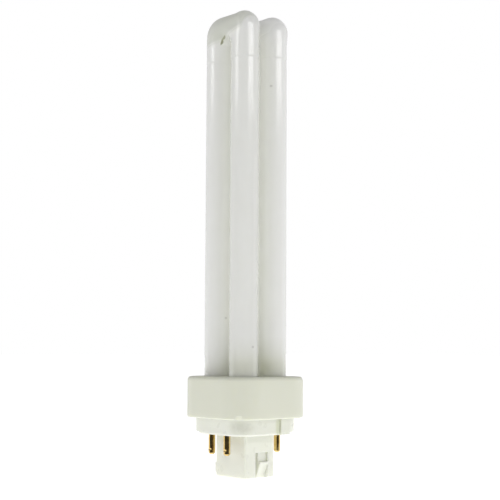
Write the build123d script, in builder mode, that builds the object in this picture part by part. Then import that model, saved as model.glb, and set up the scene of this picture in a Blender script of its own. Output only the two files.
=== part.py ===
from build123d import *
import os
from math import sqrt

os.makedirs("parts", exist_ok=True)

# Plug-in compact fluorescent lamp: two squared glass U-tubes on a four-pin plastic cap.
# The lamp stands on the end of its post. Z is the lamp's axis and the origin is at the post's end.

# Heights of the whole lamp
post_length = 15.0
plate_height = 5.6
collar_height = 14.1
tube_rise = 128.0

seat_z = post_length
collar_bottom_z = seat_z + plate_height
collar_top_z = collar_bottom_z + collar_height
tube_top_z = collar_top_z + tube_rise

# Glass
leg_diameter = 9.8
leg_pitch = 13.3
shoulder_radius = 6.5
bridge_diameter = 5.4
bridge_above_collar = 8.0
leg_flat = 0.1
leg_end_z = 26.6
leg_end_bevel = 1.6
tip_off_diameter = 3.0
tip_off_length = 0.8
pinch_length = 4.6
pinch_thickness = 2.8
pinch_width = 8.0

# Collar
collar_width = 34.2
collar_corner = 9.6
collar_wall = 1.8
collar_roof = 2.0
collar_edge = 1.3
collar_foot_edge = 0.35
leg_hole_clearance = 0.1
notch_width = 2.2
notch_height = 1.5
notch_depth = 0.9
notch_angle = 223.7

# Plug cap: plate and spigot
plate_width = 27.7
plate_corner = 6.1
plate_wall = 1.5
plate_floor = 2.0
plate_edge = 0.5
spigot_corner_gap = 0.4
spigot_height = 5.4
spigot_wall = 1.2
flange_thickness = 1.5
boss_diameter = 4.8
boss_top_z = 19.6

# Plug cap: post
post_x = 13.2
post_y = 15.8
post_corner = 0.7
post_edge = 0.5
post_floor = 1.6
post_core_x = 10.0
post_core_y = 8.2

# Latch recess on each long side of the post: a deep slot, a lead-in ramp beside it and a pocket above
slot_left = -2.0
slot_depth = 2.4
ramp_left = 0.1
ramp_right = 3.8
ramp_top_z = 5.1
ramp_foot_depth = 2.1
pocket_floor_z = 5.6
pocket_top_z = 8.8
pocket_depth = 1.0

# Key on the plate beside two opposite corners: a groove, a raised land and a lifted corner
key_groove_start = 3.4
key_groove_end = 4.1
key_groove_depth = 0.3
key_land_end = 8.2
key_land_proud = 0.3
key_corner_lift = 0.7

# Guide rib at the back left corner of the post
rib_width = 2.2
rib_proud = 1.0
rib_bottom_z = 1.6
rib_top_z = 4.8

# Contact pins
pin_spacing_x = 23.0
pin_spacing_y = 8.0
pin_diameter = 2.35
pin_length = 6.8
pin_bore = 1.3
pin_tip_wall = 1.2
pin_tip_bevel = 0.5
pin_shank_diameter = 3.0
pin_shank_proud = 0.5
pin_shank_clearance = 0.05
crimp_radius = 0.55
crimp_depth = 0.3
crimp_above_tip = 1.7

# Lead wires and cement
wire_diameter = 0.6
wire_pitch_in_pinch = 4.4
cement_thickness = 5.0


# Discharge tube
# Each U-tube is a thick U with a round crotch and tight round shoulders, rounded all the way to the middle
# of its sides, so that its legs come out round and its bend keeps a square outline.
leg_radius = leg_diameter / 2
tube_reach = leg_pitch / 2 + leg_radius
leg_round = leg_radius - leg_flat / 2
crotch_radius = leg_pitch / 2 - leg_radius
crotch_z = tube_top_z - tube_reach

with BuildPart() as discharge_tube:
    for leg_x in (-leg_pitch / 2, leg_pitch / 2):
        with BuildSketch(Plane.YZ.offset(leg_x - leg_radius)):
            with BuildLine():
                Polyline(
                    (-crotch_radius, crotch_z),
                    (-crotch_radius, leg_end_z),
                    (-tube_reach, leg_end_z),
                    (-tube_reach, tube_top_z),
                    (tube_reach, tube_top_z),
                    (tube_reach, leg_end_z),
                    (crotch_radius, leg_end_z),
                    (crotch_radius, crotch_z),
                )
                ThreePointArc(
                    (crotch_radius, crotch_z),
                    (0, crotch_z + crotch_radius),
                    (-crotch_radius, crotch_z),
                )
            make_face()
        extrude(amount=leg_diameter)
    fillet(discharge_tube.edges().filter_by(Axis.X).group_by(Axis.Z)[-1], shoulder_radius)
    side_edges = discharge_tube.faces().filter_by(Axis.X).edges()
    fillet(side_edges.filter_by_position(Axis.Z, collar_top_z, tube_top_z), leg_round)

    # All legs draw in at the end. The back legs end in the sealed stub of an exhaust tube, and the front legs
    # in a flat press seal that holds two lead wires.
    chamfer(discharge_tube.edges().group_by(Axis.Z)[0], leg_end_bevel)
    with BuildSketch(Plane.XY.offset(leg_end_z - tip_off_length)):
        with Locations((-leg_pitch / 2, leg_pitch / 2), (leg_pitch / 2, leg_pitch / 2)):
            Circle(tip_off_diameter / 2)
    extrude(amount=2 * tip_off_length)
    with BuildSketch(Plane.XY.offset(leg_end_z - pinch_length)):
        with Locations((-leg_pitch / 2, -leg_pitch / 2), (leg_pitch / 2, -leg_pitch / 2)):
            Rectangle(pinch_width, pinch_thickness)
    extrude(amount=pinch_length + leg_end_bevel)

    # Bridge that joins the two U-tubes
    with BuildSketch(Plane.YZ.offset(-leg_pitch / 2)):
        with Locations((leg_pitch / 2, collar_top_z + bridge_above_collar)):
            Circle(bridge_diameter / 2)
    extrude(amount=leg_pitch)

discharge_tube.part.label = "discharge_tube"
export_step(discharge_tube.part, "parts/discharge_tube.step")


# Collar
# A rounded square shell, open below, with a round hole for each leg and a sloped pry notch in its lower edge
# at two opposite corners.
collar_inside = collar_width - 2 * collar_wall
collar_inside_corner = collar_corner - collar_wall
corner_reach = (collar_width / 2 - collar_corner) * sqrt(2) + collar_corner

with BuildPart() as collar:
    with BuildSketch(Plane.XY.offset(collar_bottom_z)):
        RectangleRounded(collar_width, collar_width, collar_corner)
    extrude(amount=collar_height)
    fillet(collar.edges().group_by(Axis.Z)[-1], collar_edge)
    chamfer(collar.edges().group_by(Axis.Z)[0], collar_foot_edge)

    with BuildSketch(Plane.XY.offset(collar_bottom_z)):
        RectangleRounded(collar_inside, collar_inside, collar_inside_corner)
    extrude(amount=collar_height - collar_roof, mode=Mode.SUBTRACT)

    with BuildSketch(Plane.XY.offset(collar_top_z)):
        with GridLocations(leg_pitch, leg_pitch, 2, 2):
            Circle(leg_radius + leg_hole_clearance)
    extrude(amount=-collar_roof, mode=Mode.SUBTRACT)

    for corner_angle in (notch_angle, notch_angle + 180):
        outward = Vector(1, 0, 0).rotate(Axis.Z, corner_angle)
        notch_plane = Plane(
            origin=outward * corner_reach + Vector(0, 0, collar_bottom_z),
            x_dir=outward,
            z_dir=outward.rotate(Axis.Z, -90),
        )
        with BuildSketch(notch_plane.offset(-notch_width / 2)):
            with BuildLine():
                Polyline(
                    (-notch_depth, 0),
                    (notch_depth, 0),
                    (notch_depth, notch_height),
                    (0, notch_height),
                    close=True,
                )
            make_face()
        extrude(amount=notch_width, mode=Mode.SUBTRACT)

collar.part.label = "collar"
export_step(collar.part, "parts/collar.step")


# Plug cap
# One moulding: hollow plate and post below, flange and spigot that plug into the collar above.
# The spigot's flat sides press on the collar's, and its corners stay a little clear.
spigot_width = collar_inside
spigot_corner = collar_inside_corner + spigot_corner_gap
core_width = plate_width - 2 * plate_wall
core_corner = plate_corner - plate_wall
spigot_core = spigot_width - 2 * spigot_wall
floor_z = seat_z + plate_floor

with BuildPart() as plug_cap:
    with BuildSketch(Plane.XY):
        RectangleRounded(post_x, post_y, post_corner)
    extrude(amount=seat_z)
    chamfer(plug_cap.edges().group_by(Axis.Z)[0], post_edge)

    with BuildSketch(Plane.XY.offset(seat_z)):
        RectangleRounded(plate_width, plate_width, plate_corner)
    extrude(amount=plate_height)
    plate_rim = plug_cap.faces().filter_by(Plane.XY).group_by(Axis.Z)[1].sort_by(SortBy.AREA)[-1]
    chamfer(plate_rim.outer_wire().edges(), plate_edge)

    with BuildSketch(Plane.XY.offset(collar_bottom_z)):
        RectangleRounded(spigot_width, spigot_width, spigot_corner)
    extrude(amount=spigot_height)

    # Hollow of the plate, the spigot and the post, with a boss left round each pin
    with BuildSketch(Plane.XY.offset(floor_z)):
        RectangleRounded(core_width, core_width, core_corner)
        with GridLocations(pin_spacing_x, pin_spacing_y, 2, 2):
            Circle(boss_diameter / 2, mode=Mode.SUBTRACT)
    extrude(amount=boss_top_z - floor_z, mode=Mode.SUBTRACT)
    with BuildSketch(Plane.XY.offset(boss_top_z)):
        RectangleRounded(core_width, core_width, core_corner)
        with GridLocations(pin_spacing_x, pin_spacing_y, 2, 2):
            Circle(pin_shank_diameter / 2 + pin_shank_clearance)
    extrude(amount=collar_bottom_z + flange_thickness - boss_top_z, mode=Mode.SUBTRACT)
    with BuildSketch(Plane.XY.offset(collar_bottom_z + flange_thickness)):
        RectangleRounded(spigot_core, spigot_core, spigot_corner - spigot_wall)
    extrude(amount=spigot_height - flange_thickness, mode=Mode.SUBTRACT)
    with BuildSketch(Plane.XY.offset(post_floor)):
        RectangleRounded(post_core_x, post_core_y, post_corner)
    extrude(amount=floor_z - post_floor, mode=Mode.SUBTRACT)

    with BuildSketch(Plane.XY.offset(seat_z)):
        with GridLocations(pin_spacing_x, pin_spacing_y, 2, 2):
            Circle(pin_shank_diameter / 2)
    extrude(amount=boss_top_z - seat_z, mode=Mode.SUBTRACT)

    # Guide rib at the back left corner of the post
    with BuildSketch(Plane.YZ.offset(-post_x / 2 + post_corner)):
        with BuildLine():
            Polyline(
                (post_y / 2 - rib_proud, rib_bottom_z - rib_proud),
                (post_y / 2, rib_bottom_z - rib_proud),
                (post_y / 2 + rib_proud, rib_bottom_z),
                (post_y / 2 + rib_proud, rib_top_z),
                (post_y / 2 - rib_proud, rib_top_z),
                close=True,
            )
        make_face()
    extrude(amount=rib_width)

    # Key, latch recess and lead-in ramp, each on one side and again half a turn round
    for side_angle in (0, 180):
        rightward = Vector(1, 0, 0).rotate(Axis.Z, side_angle)
        outward = Vector(0, -1, 0).rotate(Axis.Z, side_angle)

        plate_side = Plane(outward * plate_width / 2, x_dir=rightward, z_dir=outward)
        with BuildSketch(plate_side.offset(-plate_wall)):
            with Locations((key_groove_end, seat_z)):
                Rectangle(key_land_end - key_groove_end, plate_height, align=Align.MIN)
        extrude(amount=plate_wall + key_land_proud)
        with BuildSketch(plate_side):
            with Locations((key_groove_start, seat_z)):
                Rectangle(key_groove_end - key_groove_start, plate_height, align=Align.MIN)
        extrude(amount=-key_groove_depth, mode=Mode.SUBTRACT)
        with BuildSketch(plate_side):
            with Locations((key_land_end, seat_z)):
                Rectangle(plate_width / 2 - key_land_end, key_corner_lift, align=Align.MIN)
        extrude(amount=key_land_end - plate_width / 2, mode=Mode.SUBTRACT)

        side = Plane(outward * post_y / 2, x_dir=rightward, z_dir=outward)
        with BuildSketch(side):
            with Locations((slot_left, 0)):
                Rectangle(ramp_left - slot_left, pocket_top_z, align=Align.MIN)
        extrude(amount=-slot_depth, mode=Mode.SUBTRACT)
        ramp_end = Plane(side.origin + rightward * ramp_left, x_dir=outward * -1, z_dir=rightward)
        with BuildSketch(ramp_end):
            with BuildLine():
                Polyline((0, 0), (ramp_foot_depth, 0), (0, ramp_top_z), close=True)
            make_face()
            with Locations((0, pocket_floor_z)):
                Rectangle(pocket_depth, pocket_top_z - pocket_floor_z, align=Align.MIN)
        extrude(amount=ramp_right - ramp_left, mode=Mode.SUBTRACT)

plug_cap.part.label = "plug_cap"
export_step(plug_cap.part, "parts/plug_cap.step")


# Contact pins
# Hollow pins with a thicker shank pressed in the boss and a crimp across the side near the tip.
pin_tip_z = seat_z - pin_length
pin_bore_z = pin_tip_z + pin_tip_wall
pin_top_z = boss_top_z + pin_shank_proud
pin_places = (
    (-pin_spacing_x / 2, pin_spacing_y / 2),
    (-pin_spacing_x / 2, -pin_spacing_y / 2),
    (pin_spacing_x / 2, -pin_spacing_y / 2),
    (pin_spacing_x / 2, pin_spacing_y / 2),
)

for number, (pin_x, pin_y) in enumerate(pin_places, start=1):
    with BuildPart() as contact_pin:
        with BuildSketch(Plane.XZ.offset(-pin_y)):
            with BuildLine():
                Polyline(
                    (pin_x, pin_tip_z),
                    (pin_x + pin_diameter / 2 - pin_tip_bevel, pin_tip_z),
                    (pin_x + pin_diameter / 2, pin_tip_z + pin_tip_bevel),
                    (pin_x + pin_diameter / 2, seat_z),
                    (pin_x + pin_shank_diameter / 2, seat_z),
                    (pin_x + pin_shank_diameter / 2, pin_top_z),
                    (pin_x + pin_bore / 2, pin_top_z),
                    (pin_x + pin_bore / 2, pin_bore_z),
                    (pin_x, pin_bore_z),
                    close=True,
                )
            make_face()
        revolve(axis=Axis((pin_x, pin_y, 0), (0, 0, 1)))

        outer_side = 1 if pin_x > 0 else -1
        crimp_x = pin_x + outer_side * (pin_diameter / 2 + crimp_radius - crimp_depth)
        with BuildSketch(Plane.XZ.offset(-pin_y - pin_diameter / 2)):
            with Locations((crimp_x, pin_tip_z + crimp_above_tip)):
                Circle(crimp_radius)
        extrude(amount=pin_diameter, mode=Mode.SUBTRACT)

    contact_pin.part.label = f"contact_pin_{number}"
    export_step(contact_pin.part, f"parts/contact_pin_{number}.step")


# Lead wires
# Each is bent sharply twice: from its press seal, across the hollow of the cap, and down its pin's bore.
pinch_bottom_z = leg_end_z - pinch_length
wire_level_z = (pinch_bottom_z + pin_top_z) / 2

for number, (pin_x, pin_y) in enumerate(pin_places, start=1):
    outer_side = 1 if pin_x > 0 else -1
    inner_wire = 1 if pin_y > 0 else -1
    seal_x = outer_side * leg_pitch / 2 + outer_side * inner_wire * -wire_pitch_in_pinch / 2
    seal_y = -leg_pitch / 2
    with BuildPart() as lead_wire:
        with BuildLine():
            Polyline(
                (seal_x, seal_y, pinch_bottom_z),
                (seal_x, seal_y, wire_level_z),
                (pin_x, pin_y, wire_level_z),
                (pin_x, pin_y, pin_bore_z),
            )
        with BuildSketch(Plane((seal_x, seal_y, pinch_bottom_z), z_dir=(0, 0, -1))):
            Circle(wire_diameter / 2)
        sweep(transition=Transition.RIGHT)

    lead_wire.part.label = f"lead_wire_{number}"
    export_step(lead_wire.part, f"parts/lead_wire_{number}.step")


# Cement pad that holds the legs under the collar's roof
cement_top_z = collar_top_z - collar_roof

with BuildPart() as cement:
    with BuildSketch(Plane.XY.offset(cement_top_z - cement_thickness)):
        RectangleRounded(collar_inside, collar_inside, collar_inside_corner)
        with GridLocations(leg_pitch, leg_pitch, 2, 2):
            RectangleRounded(leg_diameter, leg_diameter, leg_round, mode=Mode.SUBTRACT)
    extrude(amount=cement_thickness)

cement.part.label = "cement"
export_step(cement.part, "parts/cement.step")
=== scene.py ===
from math import cos, exp, hypot, pi, radians, sin, sqrt

import bpy
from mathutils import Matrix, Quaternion, Vector


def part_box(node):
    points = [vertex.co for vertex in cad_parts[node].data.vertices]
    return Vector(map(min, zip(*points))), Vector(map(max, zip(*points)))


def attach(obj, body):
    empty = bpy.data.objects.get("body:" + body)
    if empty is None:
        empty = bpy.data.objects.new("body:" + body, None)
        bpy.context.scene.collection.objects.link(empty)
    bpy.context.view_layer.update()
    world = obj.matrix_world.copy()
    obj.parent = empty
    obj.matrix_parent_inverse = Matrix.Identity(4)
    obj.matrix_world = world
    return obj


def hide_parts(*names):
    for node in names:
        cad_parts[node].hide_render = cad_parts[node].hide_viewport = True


# Looks of a plug-in compact fluorescent lamp. Lengths are in metres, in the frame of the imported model:
# X runs across the two U-tubes, the front leg of each is at -Y, and Z is up.

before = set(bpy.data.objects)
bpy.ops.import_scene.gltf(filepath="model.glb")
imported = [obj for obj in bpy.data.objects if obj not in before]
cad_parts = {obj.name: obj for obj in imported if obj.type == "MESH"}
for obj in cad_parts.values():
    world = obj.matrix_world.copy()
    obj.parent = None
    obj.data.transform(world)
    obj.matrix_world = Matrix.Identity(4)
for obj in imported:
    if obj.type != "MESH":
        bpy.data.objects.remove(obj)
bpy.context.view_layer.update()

mm = 0.001

# Camera, worked out from the lamp's edges in the photograph
camera_azimuth = radians(-41.017)
camera_distance = 409.25 * mm
camera_height = 45.5 * mm
camera_aim_height = 78.97 * mm
camera_aim_aside = 1.49 * mm
camera_roll = radians(0.278)
camera_lens = 83.83
camera_clip_start = 0.01
sensor_width = 36.0

# Light of the room, where 1 renders a colour as it is written. A bearing is in degrees to the right of
# the camera's direction, and a span of directions is in cosines of the angle to a bearing.
front_level = 0.47
back_level = 0.73
back_bearing = -165
back_span = (-0.9, 0.8)
ceiling_share = 0.45
ceiling_bearing = -90
ceiling_lean = radians(25)
ceiling_span = (0.2, 0.9)
dark_bearing = 0
dark_room_span = (-0.05, 0.2)

# Floor
floor_half_size = 4.0
floor_glow_near = 0.7
floor_glow_far = 0.3
floor_glow_seen = 0.75
floor_glow_span = (0.1, 0.5)
dark_floor_span = (12 * mm, 40 * mm)

softboxes = (
    {"name": "softbox_left", "bearing": -68, "width": 0.40, "height": 0.26, "radiance": 3.05},
    {"name": "softbox_right", "bearing": 53, "width": 0.66, "height": 0.13, "radiance": 3.75},
)
softbox_distance = 0.75
softbox_low_edge = 0.29
softbox_aim_share = 0.6

# Sizes read from the frame
tube_low, tube_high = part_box("discharge_tube")
tube_top = tube_high.z
tube_bottom = tube_low.z
tube_reach = tube_high.y
collar_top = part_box("collar")[1].z

# Glass
leg_radius = 4.9 * mm
leg_half_pitch = tube_reach - leg_radius
crotch_radius = leg_half_pitch - leg_radius
crotch_height = tube_top - tube_reach
front_fullness = 0.4
fullness_rise = 6 * mm
roof_room = 0.2 * mm
roof_front = 3.5 * mm
roof_run = 6 * mm
bridge_height = collar_top + 8 * mm
bridge_radius = 2.7 * mm
bridge_flare = 1.1 * mm
bridge_flare_power = 5
bridge_end_inset = 2.5 * mm

# The mould's edge below each bend. It fades up and down over these numbers of millimetres.
seam_step = 0.10 * mm
seam_fade_up = 0.35
seam_fade_down = 3.2

# The legs' ends: domes with a stub at the back, press seals at the front
leg_end = tube_bottom + 4.6 * mm
dome_drop = 2.6 * mm
stub_radius = 1.5 * mm
stub_length = 0.8 * mm
stub_tip = 0.2 * mm
stub_tip_share = 0.5
seal_half_width = 4.0 * mm
seal_half_thickness = 1.4 * mm
seal_flattening = 1.6

# Steps of the glass's mesh
section_points = 56
leg_steps = 40
seam_steps = 80
seam_run = 9 * mm
bend_steps = 120
dome_steps = 8
seal_steps = 10
bridge_steps = 30
bridge_points = 48

# The two bends were shaped by hand, so each has its own mould edge, corners and roof
bends = (
    {
        "side": -1,
        "seam_height": 145.3 * mm,
        "front_corner": 6.0 * mm,
        "back_corner": 7.6 * mm,
        "front_lift": 0.2 * mm,
        "back_drop": 0.45 * mm,
    },
    {
        "side": 1,
        "seam_height": 146.8 * mm,
        "front_corner": 6.3 * mm,
        "back_corner": 7.0 * mm,
        "front_lift": 0.2 * mm,
        "back_drop": 0.2 * mm,
    },
)

# The duller zone on the roofs of the bends. Its lower and front edges slope, and on the left bend only
# it is greyer with painted shade.
zone_low_slope = 0.25
zone_low_span = (152.3 * mm, 154.6 * mm)
zone_front_slope = 0.33
zone_front_height = 152.7 * mm
zone_front_span = (-8.9 * mm, -8.1 * mm)
zone_side_span = (-1 * mm, 1 * mm)
zone_coat_roughness = (0.13, 0.45)

# How deep light scatters in the coat: less near the collar, where the legs stand in it
scatter_run = 12 * mm
scatter_depths = (14 * mm, 40 * mm)

# The front legs' ends, greyer for electrode blackening and for painted shade where the collar keeps
# light off them
end_run = 15 * mm
end_start_run = 5 * mm
end_start_share = 0.3
end_back_share = 0.1
end_front_span = (-2 * mm, 2 * mm)

# A dark dash in the coat, of two strokes, each with its centre, half length and tilt, and three specks
dash_strokes = (
    ((-9.5 * mm, 2.3 * mm, 152.4 * mm), 1.1 * mm, radians(30)),
    ((-9.7 * mm, 0.9 * mm, 153.65 * mm), 1.2 * mm, radians(60)),
)
dash_half_depth = 1.5 * mm
dash_half_width = 0.26 * mm
dash_softness = 0.4
speck_centres = (
    (-7.4 * mm, 1.8 * mm, 54.9 * mm),
    (-6.6 * mm, -11.5 * mm, 44.9 * mm),
    (2.9 * mm, -9.8 * mm, 136.5 * mm),
)
speck_half_size = (0.5 * mm, 0.5 * mm, 0.4 * mm)
speck_share = 0.3

# Painted shade on the cap: a patch at its front corner, broken by grain, and a band in its key groove
corner_shade_centre = (-11.6 * mm, -11.6 * mm, 18.0 * mm)
corner_shade_half_size = (4 * mm, 4 * mm, 1.6 * mm)
corner_shade_softness = 0.6
corner_shade_share = 0.34
corner_shade_breaks_span = (0.3, 0.6)
corner_shade_breaks_share = (0.4, 1)
# Painted shade in the key groove
groove_shade_centre = (3.1 * mm, -13.9 * mm, 17.8 * mm)
groove_shade_half_size = (1.1 * mm, 1.1 * mm, 4 * mm)

# Colours. A pair is the darker and the lighter of a pattern.
coat_whites = ((0.92, 0.935, 0.82), (0.935, 0.95, 0.84))
# Grey of the front legs' ends near the collar: electrode blackening and painted shade
coat_end_blackening_and_shade = (0.67, 0.68, 0.57)
# Painted shade on the left bend's roof
coat_bend_shade = (0.575, 0.59, 0.515)
dash_colour = (0.28, 0.29, 0.20)
speck_colour = (0.3, 0.28, 0.22)
collar_creams = ((0.79, 0.80, 0.69), (0.80, 0.81, 0.70))
cap_whites = ((0.825, 0.835, 0.76), (0.835, 0.845, 0.77))
# Painted shade at the cap's front corner
corner_shade_colour = (0.52, 0.52, 0.45)
# Painted shade in the cap's key groove
groove_shade_colour = (0.70, 0.72, 0.58)
brass_golds = ((0.72, 0.50, 0.18), (0.83, 0.63, 0.27))
nickel_greys = ((0.55, 0.53, 0.5), (0.66, 0.64, 0.6))
cement_greys = ((0.62, 0.58, 0.5), (0.76, 0.73, 0.66))
floor_pales = ((0.87, 0.87, 0.87), (0.89, 0.89, 0.89))
floor_dark = (0.08, 0.08, 0.08)
white_light = (1, 1, 1, 1)

# Where most of a noise pattern's values lie, and how far such patterns change a roughness
noise_span = (0.3, 0.7)
plastic_roughness_spread = (-0.01, 0.02)
metal_roughness_spread = (0, 0.12)

# The Mix node's sockets for colours
mix_first_input = 6
mix_second_input = 7
mix_output = 2


def camera_direction():
    """Level unit vector from the lamp's axis to the camera."""
    return Vector((sin(camera_azimuth), -cos(camera_azimuth), 0))


def camera_rightward():
    """Level unit vector to the right in the camera's view."""
    return Vector((cos(camera_azimuth), sin(camera_azimuth), 0))


def bearing_vector(bearing):
    """Level unit vector, its bearing in degrees to the right of the camera's direction."""
    turn = radians(bearing)
    return camera_direction() * cos(turn) + camera_rightward() * sin(turn)


def add_camera():
    """The camera at the photograph's place, turned a little about its own axis."""
    data = bpy.data.cameras.new("camera")
    data.sensor_width = sensor_width
    data.lens = camera_lens
    data.clip_start = camera_clip_start
    camera = bpy.data.objects.new("camera", data)
    camera.location = camera_direction() * camera_distance + Vector((0, 0, camera_height))
    aim = camera_rightward() * camera_aim_aside + Vector((0, 0, camera_aim_height))
    turn = (aim - camera.location).to_track_quat("-Z", "Y")
    camera.rotation_mode = "QUATERNION"
    camera.rotation_quaternion = turn @ Quaternion((0, 0, 1), camera_roll)
    bpy.context.scene.collection.objects.link(camera)
    bpy.context.scene.camera = camera


def plug(tree, node, inputs):
    """Links or sets a node's inputs, given by name or number."""
    for name, value in inputs.items():
        if isinstance(value, bpy.types.NodeSocket):
            tree.links.new(value, node.inputs[name])
        else:
            node.inputs[name].default_value = value


def add_node(tree, kind, inputs=None, **settings):
    """A shader node with its settings made and its inputs linked or set."""
    node = tree.nodes.new(kind)
    for name, value in settings.items():
        setattr(node, name, value)
    plug(tree, node, inputs or {})
    return node


def empty_tree(owner):
    """The emptied node tree of a material or world."""
    owner.use_nodes = True
    owner.node_tree.nodes.clear()
    return owner.node_tree


def new_material(name):
    """A material, its node tree and its Principled shader, already joined to the output."""
    material = bpy.data.materials.new(name)
    tree = empty_tree(material)
    shader = add_node(tree, "ShaderNodeBsdfPrincipled")
    add_node(tree, "ShaderNodeOutputMaterial", {"Surface": shader.outputs["BSDF"]})
    return material, tree, shader


def object_place(tree):
    """The place on the object, as texture coordinates."""
    return add_node(tree, "ShaderNodeTexCoord").outputs["Object"]


def noise(tree, place, scale, detail, roughness=0.5):
    """A noise pattern from 0 to 1, its scale in cells a metre."""
    return add_node(
        tree,
        "ShaderNodeTexNoise",
        {"Vector": place, "Scale": scale, "Detail": detail, "Roughness": roughness},
    ).outputs["Fac"]


def ramp(tree, pattern, colours, span=noise_span):
    """A colour between two, by where a pattern's value lies in a span."""
    node = add_node(tree, "ShaderNodeValToRGB", {"Fac": pattern})
    for element, position, colour in zip(node.color_ramp.elements, span, colours):
        element.position = position
        element.color = (*colour, 1)
    return node.outputs["Color"]


def map_range(tree, value, span, to=(0, 1)):
    """A value taken smoothly from one span to another, held at both ends."""
    return add_node(
        tree,
        "ShaderNodeMapRange",
        {"Value": value, "From Min": span[0], "From Max": span[1], "To Min": to[0], "To Max": to[1]},
        interpolation_type="SMOOTHSTEP",
    ).outputs["Result"]


def calculate(tree, operation, first, second):
    """Two values put together by an operation."""
    return add_node(tree, "ShaderNodeMath", {0: first, 1: second}, operation=operation).outputs["Value"]


def product(tree, first, second):
    """Two values multiplied."""
    return calculate(tree, "MULTIPLY", first, second)


def vector_node(tree, operation, inputs):
    """The outputs of a vector operation."""
    numbered = dict(enumerate(inputs))
    return add_node(tree, "ShaderNodeVectorMath", numbered, operation=operation).outputs


def along(tree, place, direction):
    """How far a place or direction lies along a unit vector."""
    return vector_node(tree, "DOT_PRODUCT", (place, tuple(direction)))["Value"]


def mix_colours(tree, share, first, second):
    """Two colours, each a socket or three numbers, mixed by share."""
    first, second = ((*c, 1) if isinstance(c, tuple) else c for c in (first, second))
    inputs = {0: share, mix_first_input: first, mix_second_input: second}
    return add_node(tree, "ShaderNodeMix", inputs, data_type="RGBA").outputs[mix_output]


def bumped(tree, pattern, strength, depth, **more):
    """The surface's normal, bumped by a pattern."""
    inputs = {"Height": pattern, "Strength": strength, "Distance": depth, **more}
    return add_node(tree, "ShaderNodeBump", inputs).outputs["Normal"]


def spot(tree, place, centre, half_size, tilt=0.0, softness=0.5):
    """A soft-edged ellipsoid mask, 1 inside, at a place on the object. Tilt turns it about X."""
    shifted = vector_node(tree, "SUBTRACT", (place, centre))["Vector"]
    turned = add_node(
        tree, "ShaderNodeVectorRotate", {"Vector": shifted, "Angle": -tilt}, rotation_type="X_AXIS"
    ).outputs["Vector"]
    scaled = vector_node(tree, "DIVIDE", (turned, half_size))["Vector"]
    length = vector_node(tree, "LENGTH", (scaled,))["Value"]
    return map_range(tree, length, (1 - softness, 1 + softness), to=(1, 0))


def bend_zone(tree, at):
    """1 on the roofs of the two bends, behind their front corners."""
    low = calculate(tree, "ADD", at["Z"], product(tree, at["Y"], zone_low_slope))
    over = calculate(tree, "SUBTRACT", at["Z"], zone_front_height)
    front = calculate(tree, "ADD", at["Y"], product(tree, over, zone_front_slope))
    return product(tree, map_range(tree, low, zone_low_span), map_range(tree, front, zone_front_span))


def coat_colour(tree, place, at, zone):
    """The coat's mottled white, with end blackening and painted shade at the front legs' ends, painted
    shade on the left bend's roof, a dark dash and specks.
    """
    white = ramp(tree, noise(tree, place, scale=160, detail=4), coat_whites)
    # The front legs' ends near the collar: electrode blackening and painted shade
    near_cap = map_range(tree, at["Z"], (collar_top, collar_top + end_run), to=(1, 0))
    start = map_range(tree, at["Z"], (collar_top, collar_top + end_start_run), to=(end_start_share, 1))
    front = map_range(tree, at["Y"], end_front_span, to=(1, end_back_share))
    end = product(tree, product(tree, near_cap, start), front)
    colour = mix_colours(tree, end, white, coat_end_blackening_and_shade)
    # Painted shade on the left bend's roof
    left = map_range(tree, at["X"], zone_side_span, to=(1, 0))
    colour = mix_colours(tree, product(tree, zone, left), colour, coat_bend_shade)
    for centre, half_length, tilt in dash_strokes:
        half_size = (dash_half_depth, dash_half_width, half_length)
        stroke = spot(tree, place, centre, half_size, tilt, dash_softness)
        colour = mix_colours(tree, stroke, colour, dash_colour)
    for centre in speck_centres:
        speck = spot(tree, place, centre, speck_half_size)
        colour = mix_colours(tree, product(tree, speck, speck_share), colour, speck_colour)
    return colour


def coated_glass():
    """Clear glass over a white powder coat: a glossy, faintly wavy coat over a deep matt white."""
    material, tree, shader = new_material("coated_glass")
    place = object_place(tree)
    at = add_node(tree, "ShaderNodeSeparateXYZ", {"Vector": place}).outputs
    zone = bend_zone(tree, at)
    scatter = map_range(tree, at["Z"], (collar_top, collar_top + scatter_run), to=scatter_depths)
    waves = noise(tree, place, scale=60, detail=2)
    plug(tree, shader, {
        "Base Color": coat_colour(tree, place, at, zone),
        "Roughness": 0.6,
        "Specular IOR Level": 0.2,
        "Subsurface Weight": 1.0,
        "Subsurface Radius": (1.0, 1.0, 0.95),
        "Subsurface Scale": scatter,
        "Coat Weight": 1.0,
        "Coat Roughness": map_range(tree, zone, (0, 1), to=zone_coat_roughness),
        "Coat IOR": 1.6,
        "Coat Normal": bumped(tree, waves, strength=0.6, depth=0.05 * mm),
    })
    return material


def cap_painted_shade(tree, place, colour):
    """The cap's colour with painted shade: a patch at its front corner, broken by grain, and a band in
    its key groove.
    """
    # Painted shade of the front corner, which faces the dark side of the room, broken by grain
    corner_spot = spot(tree, place, corner_shade_centre, corner_shade_half_size, softness=corner_shade_softness)
    grain = noise(tree, place, scale=700, detail=4)
    breaks = map_range(tree, grain, corner_shade_breaks_span, to=corner_shade_breaks_share)
    corner_shade_mask = product(tree, product(tree, corner_spot, breaks), corner_shade_share)
    colour = mix_colours(tree, corner_shade_mask, colour, corner_shade_colour)
    # Painted shade in the key groove
    return mix_colours(tree, spot(tree, place, groove_shade_centre, groove_shade_half_size), colour, groove_shade_colour)


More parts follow.
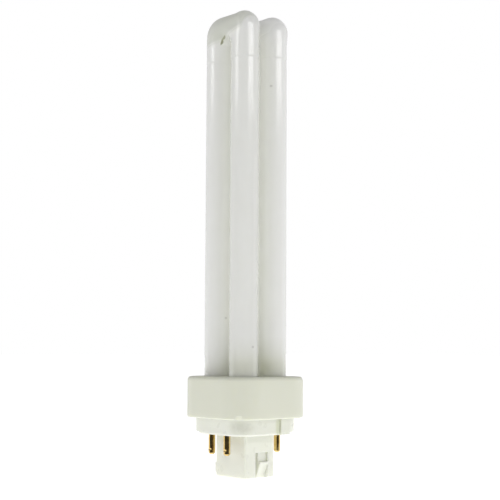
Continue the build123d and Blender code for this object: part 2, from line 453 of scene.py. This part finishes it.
def moulded_plastic(name, colours, roughness, edge_round, add_shade=None):
    """Moulded plastic: faint flow marks in colour, a fine skin and edges that round off."""
    material, tree, shader = new_material(name)
    place = object_place(tree)
    colour = ramp(tree, noise(tree, place, scale=90, detail=5), colours)
    if add_shade:
        colour = add_shade(tree, place, colour)
    polish = noise(tree, place, scale=300, detail=3)
    spread = [roughness + change for change in plastic_roughness_spread]
    edge = add_node(tree, "ShaderNodeBevel", {"Radius": edge_round}, samples=6).outputs["Normal"]
    skin = noise(tree, place, scale=2500, detail=2)
    plug(tree, shader, {
        "Base Color": colour,
        "Roughness": map_range(tree, polish, noise_span, to=spread),
        "IOR": 1.5,
        "Normal": bumped(tree, skin, strength=0.12, depth=0.01 * mm, Normal=edge),
        "Subsurface Weight": 0.8,
        "Subsurface Radius": (1.0, 1.0, 0.9),
        "Subsurface Scale": 1.2 * mm,
    })
    return material


def turned_metal(name, colours, roughness, line_scale):
    """Bright metal with fine turning lines round the Z axis and a little tarnish."""
    material, tree, shader = new_material(name)
    place = object_place(tree)
    tarnish = noise(tree, place, scale=900, detail=4)
    flattened = add_node(
        tree, "ShaderNodeMapping", {"Vector": place, "Scale": (0.05, 0.05, 1)}
    ).outputs["Vector"]
    lines = noise(tree, flattened, line_scale, detail=2)
    spread = [roughness + change for change in metal_roughness_spread]
    plug(tree, shader, {
        "Base Color": ramp(tree, tarnish, colours, span=(0.35, 0.65)),
        "Metallic": 1.0,
        "Roughness": map_range(tree, tarnish, noise_span, to=spread),
        "Normal": bumped(tree, lines, strength=0.3, depth=0.01 * mm),
    })
    return material


def cast_cement():
    """Matt cast cement with sandy grain."""
    material, tree, shader = new_material("basing_cement")
    grain = noise(tree, object_place(tree), scale=1200, detail=6, roughness=0.7)
    plug(tree, shader, {
        "Base Color": ramp(tree, grain, cement_greys),
        "Roughness": 0.9,
        "Normal": bumped(tree, grain, strength=0.8, depth=0.1 * mm),
    })
    return material


def smooth(share):
    """A share held between 0 and 1, with a soft start and end."""
    share = min(max(share, 0), 1)
    return share * share * (3 - 2 * share)


def outline_reach(direction_y, direction_z, corner_radius):
    """Distance from the crotch's centre to a bend's squared outer outline, along a unit direction."""
    y, z = abs(direction_y), direction_z
    corner = tube_reach - corner_radius
    to_corner = (y + z) * corner
    to_arc = to_corner + sqrt(max(to_corner * to_corner - 2 * corner * corner + corner_radius ** 2, 0))
    if min(to_arc * y, to_arc * z) >= corner:
        return to_arc
    return tube_reach / max(y, z)


def outline_depth(y, z, corner_radius):
    """Distance of a point of a bend, seen from the side, from the outer outline."""
    corner = tube_reach - corner_radius
    over_y, over_z = abs(y) - corner, z - crotch_height - corner
    if min(over_y, over_z) > 0:
        return corner_radius - hypot(over_y, over_z)
    return corner_radius - max(over_y, over_z)


def corner_of(y, bend):
    """Radius of the bend's outer corner on a point's side."""
    return bend["front_corner"] if y < 0 else bend["back_corner"]


def bend_stations(bend):
    """Inner and outer points (y, z) of a U-tube's sections, from the back leg's end to the front's."""
    fine_low = bend["seam_height"] - seam_run
    leg_heights = [leg_end + (fine_low - leg_end) * i / leg_steps for i in range(leg_steps)]
    leg_heights += [fine_low + (crotch_height - fine_low) * i / seam_steps for i in range(seam_steps)]
    stations = [((crotch_radius, z), (tube_reach, z)) for z in leg_heights]
    for i in range(bend_steps + 1):
        angle = pi * i / bend_steps
        y, z = cos(angle), sin(angle)
        reach = outline_reach(y, z, corner_of(y, bend))
        inner = (crotch_radius * y, crotch_height + crotch_radius * z)
        stations.append((inner, (reach * y, crotch_height + reach * z)))
    stations += [((-crotch_radius, z), (-tube_reach, z)) for z in reversed(leg_heights)]
    return stations


def front_share(y, z, bend):
    """1 where the outline of the blown bend faces forward, 0 where it faces up or back."""
    corner = tube_reach - bend["front_corner"]
    over_y, over_z = max(-y - corner, 0), max(z - crotch_height - corner, 0)
    if over_y == 0:
        return 0
    return over_y ** 2 / (over_y ** 2 + over_z ** 2)


def half_thickness(y, z, bend):
    """Half the thickness at a point seen from the side: round, but fuller at the bend's front."""
    from_crotch = abs(y) - crotch_radius
    if z > crotch_height:
        from_crotch = hypot(y, z - crotch_height) - crotch_radius
    depth = min(from_crotch, outline_depth(y, z, corner_of(y, bend)), leg_radius)
    rise = smooth((z - crotch_height) / fullness_rise)
    power = 2 + front_fullness * rise * front_share(y, z, bend)
    inward = 1 - max(depth, 0) / leg_radius
    return leg_radius * (1 - inward ** power) ** (1 / power)


def seam_trim(height, seam_height):
    """How far the glass draws in below the mould's edge, where the blown bend begins."""
    above = (height - seam_height) / mm
    if above > 0:
        return seam_step * exp(-((above / seam_fade_up) ** 2))
    return seam_step * exp(above / seam_fade_down)


def roof_shift(y, z, bend):
    """How far a bend's roof is lifted in front and sunk behind, by height above the crotch's centre."""
    share = min(max((z - crotch_height) / tube_reach, 0), 1)
    forward = smooth((-y - roof_front) / roof_run)
    return share * (bend["front_lift"] * forward - bend["back_drop"] * (1 - forward))


def section_ring(inner, outer, bend):
    """Points of one section of a U-tube."""
    ring = []
    leg_x = bend["side"] * leg_half_pitch
    trim = seam_trim(inner[1], bend["seam_height"]) if inner[1] < crotch_height else 0
    middle_y, middle_z = (inner[0] + outer[0]) / 2, (inner[1] + outer[1]) / 2
    for i in range(section_points):
        angle = 2 * pi * i / section_points
        outward = cos(angle)
        y = middle_y + (outer[0] - inner[0]) / 2 * outward
        z = middle_z + (outer[1] - inner[1]) / 2 * outward
        side = half_thickness(y, z, bend)
        x = leg_x + (side - trim * abs(sin(angle))) * (1 if sin(angle) > 0 else -1)
        y -= trim * outward * (1 if outer[0] > 0 else -1)
        ring.append(Vector((x, y, z + roof_shift(y, z, bend) - roof_room)))
    return ring


def dome_rings(ring, centre):
    """Rings that close a leg with a dome and a short sealed stub."""
    rings = []
    for i in range(1, dome_steps + 1):
        angle = pi / 2 * i / dome_steps
        share = max(cos(angle), stub_radius / leg_radius)
        drop = Vector((0, 0, dome_drop * sin(angle)))
        rings.append([centre + (p - centre) * share - drop for p in ring])
    low = rings[-1][0].z - stub_length
    rings.append([Vector((p.x, p.y, low)) for p in rings[-1]])
    tip = [centre.lerp(p, stub_tip_share * stub_radius / leg_radius) for p in ring]
    rings.append([Vector((p.x, p.y, low - stub_tip)) for p in tip])
    return rings


def press_seal_rings(ring, centre):
    """Rings that flatten a round leg into a press seal."""
    rings = []
    top = ring[0].z
    wide, thin = seal_half_width / leg_radius, seal_half_thickness / leg_radius
    offsets = [p - centre for p in ring]
    for i in range(1, seal_steps + 1):
        share = i / seal_steps
        z = top + (tube_bottom - top) * share
        flat = min(1.0, smooth(share) * seal_flattening)
        wider, thinner = 1 + (wide - 1) * flat, 1 + (thin - 1) * flat
        rings.append([Vector((centre.x + d.x * wider, centre.y + d.y * thinner, z)) for d in offsets])
    return rings


def skin_rings(rings, vertices, faces):
    """Adds a closed tube through rings of equal length to a list of vertices and faces."""
    start = len(vertices)
    count = len(rings[0])
    for ring in rings:
        vertices.extend(ring)
    for r in range(len(rings) - 1):
        low = start + r * count
        high = low + count
        for i in range(count):
            j = (i + 1) % count
            faces.append((low + i, low + j, high + j, high + i))
    faces.append(tuple(start + i for i in reversed(range(count))))
    faces.append(tuple(start + (len(rings) - 1) * count + i for i in range(count)))


def new_object(name, vertices, faces, material):
    """A smooth-shaded mesh object in the lamp's frame."""
    mesh = bpy.data.meshes.new(name)
    mesh.from_pydata([tuple(v) for v in vertices], [], faces)
    mesh.update()
    mesh.shade_smooth()
    mesh.materials.append(material)
    piece = bpy.data.objects.new(name, mesh)
    bpy.context.scene.collection.objects.link(piece)
    return piece


def build_tube(material):
    """The glass: two squared U-tubes side by side, with a short bridge between the back legs."""
    vertices, faces = [], []
    for bend in bends:
        leg_x = bend["side"] * leg_half_pitch
        rings = [section_ring(inner, outer, bend) for inner, outer in bend_stations(bend)]
        dome = dome_rings(rings[0], Vector((leg_x, leg_half_pitch, leg_end)))
        seal = press_seal_rings(rings[-1], Vector((leg_x, -leg_half_pitch, leg_end)))
        skin_rings(dome[::-1] + rings + seal, vertices, faces)

    tube = new_object("glass_tube", vertices, faces, material)
    join_bridge(tube, material)
    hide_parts("discharge_tube")
    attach(tube, "root")


def join_bridge(tube, material):
    """Fuses the bridge, flared where it meets the back legs, with the two U-tubes."""
    reach = leg_half_pitch - bridge_end_inset
    turns = [2 * pi * i / bridge_points for i in range(bridge_points)]
    rings = []
    for i in range(bridge_steps + 1):
        x = reach * (2 * i / bridge_steps - 1)
        radius = bridge_radius + bridge_flare * abs(x / reach) ** bridge_flare_power
        rings.append([
            Vector((x, leg_half_pitch + radius * cos(turn), bridge_height + radius * sin(turn)))
            for turn in turns
        ])
    vertices, faces = [], []
    skin_rings(rings, vertices, faces)
    bridge = new_object("bridge", vertices, faces, material)
    union = tube.modifiers.new("bridge", "BOOLEAN")
    union.operation = "UNION"
    union.object = bridge
    bpy.context.view_layer.update()
    fused = bpy.data.meshes.new_from_object(tube.evaluated_get(bpy.context.evaluated_depsgraph_get()))
    tube.modifiers.clear()
    tube.data = fused
    bpy.data.objects.remove(bridge)


def assign(node, material):
    """Gives a CAD node a material."""
    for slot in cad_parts[node].material_slots:
        slot.material = material


def unlit(tree, place, span):
    """1 where a place or direction is on the dark side of the room, in reflections only."""
    dark = map_range(tree, along(tree, place, bearing_vector(dark_bearing)), span)
    return product(tree, dark, add_node(tree, "ShaderNodeLightPath").outputs["Is Glossy Ray"])


def seen_share(tree, *rays):
    """1 for the kinds of ray that see the background as white, 0 for the others."""
    path = add_node(tree, "ShaderNodeLightPath").outputs
    seen = path["Is Camera Ray"]
    for ray in rays:
        seen = calculate(tree, "MAXIMUM", seen, path[ray])
    return seen


def floor_white():
    """A pale floor that glows, so that the camera sees it as white with the lamp's shadow on it."""
    material = bpy.data.materials.new("floor_white")
    tree = empty_tree(material)
    place = object_place(tree)
    lit = calculate(tree, "SUBTRACT", 1.0, unlit(tree, place, dark_floor_span))
    pale = ramp(tree, noise(tree, place, scale=3, detail=2), floor_pales)
    tint = mix_colours(tree, lit, floor_dark, pale)
    diffuse = add_node(tree, "ShaderNodeBsdfDiffuse", {"Color": tint}).outputs["BSDF"]

    distance = vector_node(tree, "LENGTH", (place,))["Value"]
    as_light = map_range(tree, distance, floor_glow_span, to=(floor_glow_near, floor_glow_far))
    seen = seen_share(tree, "Is Glossy Ray", "Is Transmission Ray")
    unseen = calculate(tree, "SUBTRACT", 1.0, seen)
    strength = calculate(
        tree, "ADD", product(tree, unseen, as_light), product(tree, seen, floor_glow_seen)
    )
    glow = add_node(
        tree, "ShaderNodeEmission", {"Color": white_light, "Strength": product(tree, strength, lit)}
    ).outputs["Emission"]
    both = add_node(tree, "ShaderNodeAddShader", {0: diffuse, 1: glow}).outputs["Shader"]
    add_node(tree, "ShaderNodeOutputMaterial", {"Surface": both})
    return material


def add_stage():
    """The floor under the lamp."""
    half = floor_half_size
    corners = [(-half, -half, 0), (half, -half, 0), (half, half, 0), (-half, half, 0)]
    floor = new_object("floor", corners, [(0, 1, 2, 3)], floor_white())


def add_world():
    """White to the camera, and as light a pale room, darker overhead and at one side in reflections."""
    world = bpy.data.worlds.new("studio")
    bpy.context.scene.world = world
    tree = empty_tree(world)
    direction = add_node(tree, "ShaderNodeTexCoord").outputs["Generated"]
    backward = along(tree, direction, bearing_vector(back_bearing))
    level = map_range(tree, backward, back_span, to=(front_level, back_level))
    overhead = bearing_vector(ceiling_bearing) * sin(ceiling_lean) + Vector((0, 0, cos(ceiling_lean)))
    up = along(tree, direction, overhead)
    level = product(tree, level, map_range(tree, up, ceiling_span, to=(1, ceiling_share)))
    lit = calculate(tree, "SUBTRACT", 1.0, unlit(tree, direction, dark_room_span))
    level = product(tree, level, lit)
    strength = calculate(tree, "MAXIMUM", level, seen_share(tree, "Is Transmission Ray"))
    background = add_node(tree, "ShaderNodeBackground", {"Color": white_light, "Strength": strength})
    add_node(tree, "ShaderNodeOutputWorld", {"Surface": background.outputs["Background"]})


def add_softbox(name, bearing, width, height, radiance):
    """A soft box that faces the tubes, given by the brightness of its face."""
    data = bpy.data.lights.new(name, "AREA")
    data.shape = "RECTANGLE"
    data.size = width
    data.size_y = height
    data.energy = radiance * pi * width * height
    lamp = bpy.data.objects.new(name, data)
    middle = softbox_low_edge + height / 2
    lamp.location = bearing_vector(bearing) * softbox_distance + Vector((0, 0, middle))
    target = Vector((0, 0, middle * softbox_aim_share))
    lamp.rotation_mode = "QUATERNION"
    lamp.rotation_quaternion = (target - lamp.location).to_track_quat("-Z", "Y")
    bpy.context.scene.collection.objects.link(lamp)


add_camera()
add_world()
add_stage()
for softbox in softboxes:
    add_softbox(**softbox)

build_tube(coated_glass())
collar_plastic = moulded_plastic("collar_plastic", collar_creams, roughness=0.5, edge_round=0.35 * mm)
cap_plastic = moulded_plastic(
    "cap_plastic", cap_whites, roughness=0.28, edge_round=0.25 * mm, add_shade=cap_painted_shade
)
pin_brass = turned_metal("pin_brass", brass_golds, roughness=0.12, line_scale=9000)
wire_metal = turned_metal("wire_metal", nickel_greys, roughness=0.35, line_scale=4000)
assign("collar", collar_plastic)
assign("plug_cap", cap_plastic)
for number in range(1, 5):
    assign(f"contact_pin_{number}", pin_brass)
    assign(f"lead_wire_{number}", wire_metal)
assign("cement", cast_cement())

bpy.context.scene.view_settings.view_transform = "Standard"
bpy.context.view_layer.update()
